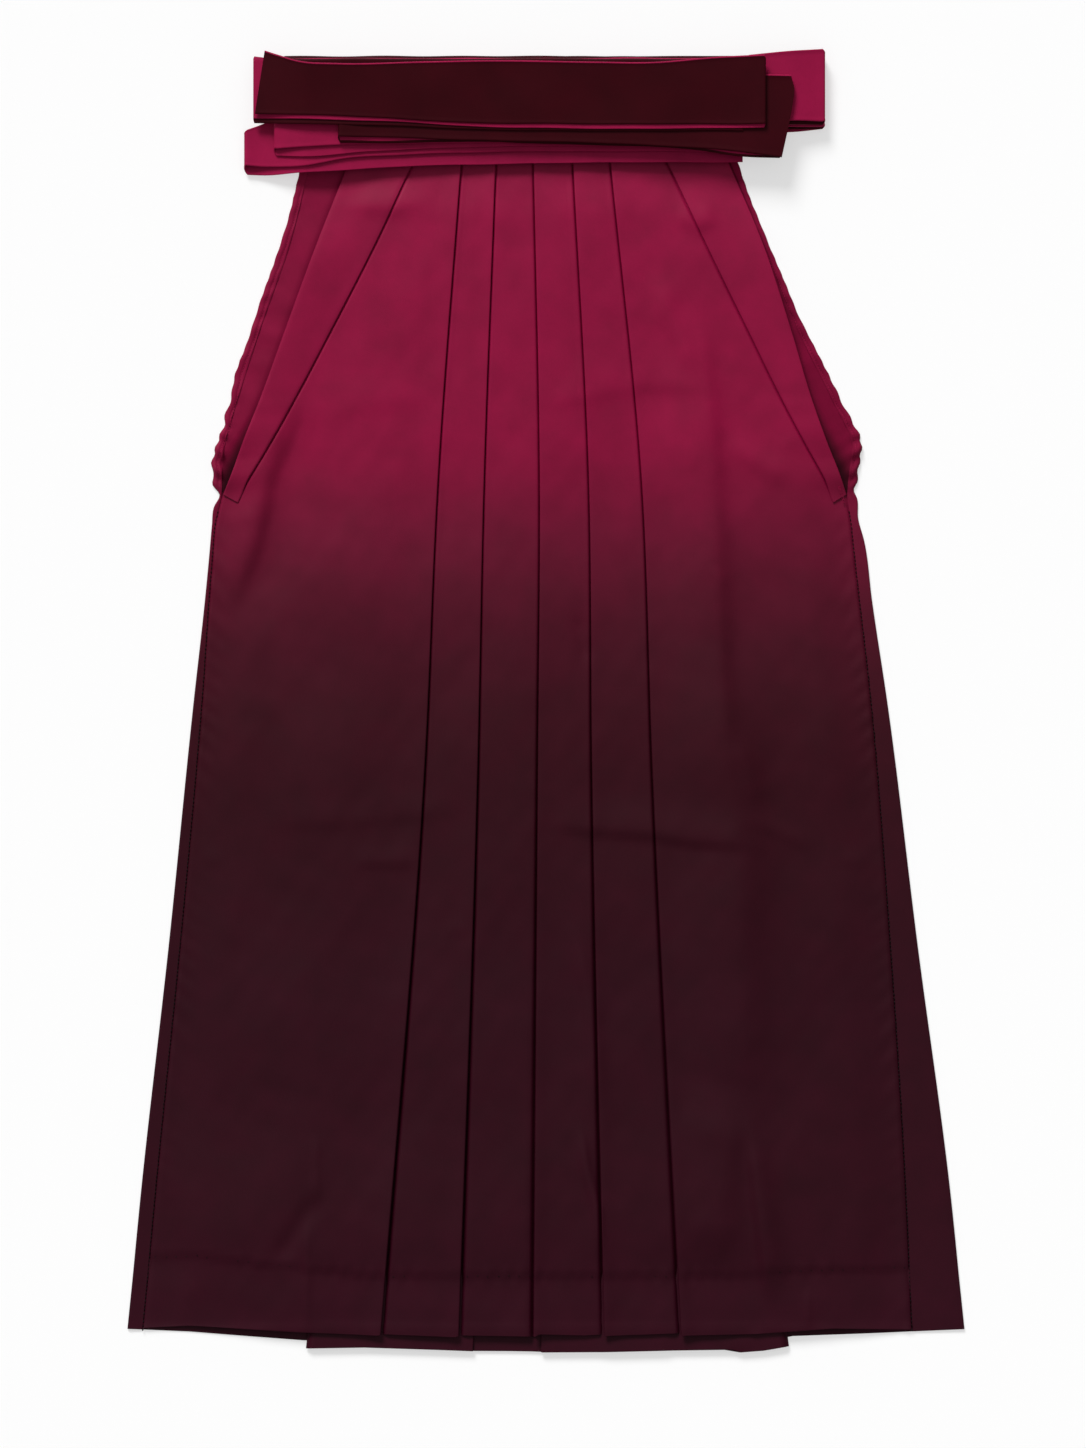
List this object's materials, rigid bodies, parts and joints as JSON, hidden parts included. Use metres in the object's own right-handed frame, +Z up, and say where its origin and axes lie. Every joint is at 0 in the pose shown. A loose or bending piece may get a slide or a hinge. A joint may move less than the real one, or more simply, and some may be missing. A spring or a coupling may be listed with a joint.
{
  "type": "hakama trousers",
  "caption": "Pleated hakama trousers laid flat with the front up, dyed wine red to dark plum, with the belt bands folded over the waist.",
  "frame": {"origin": "on the surface it lies on, under the middle of the garment's bounding box", "axes": "+X to the right of someone looking at the front, +Y from hem to waist, +Z up from the surface"},
  "size_m": [0.6816, 1.0604, 0.0264],
  "materials": {
    "back_cloth": "smooth satin-like weave, gradient dyed",
    "inner_leg_cloth": "smooth satin-like weave",
    "front_cloth": "smooth satin-like weave, gradient dyed",
    "strip_cloth": "smooth satin-like weave",
    "waistband_cloth": "smooth satin-like weave",
    "himo_cloth": "smooth weave, dark on one face and wine red on the other"
  },
  "bodies": {
    "root": {"back_left": "back_cloth", "back_right": "back_cloth", "inner_leg_left": "inner_leg_cloth", "inner_leg_right": "inner_leg_cloth", "front_left": "front_cloth", "front_right": "front_cloth", "sasahida_left": "strip_cloth", "sasahida_right": "strip_cloth", "back_waistband": "waistband_cloth", "front_waistband": "waistband_cloth", "himo_top": "himo_cloth", "himo_second": "himo_cloth", "himo_third": "himo_cloth", "himo_lowest": "himo_cloth", "himo_right": "himo_cloth", "himo_hidden_layers": "himo_cloth"}
  },
  "joints": []
}
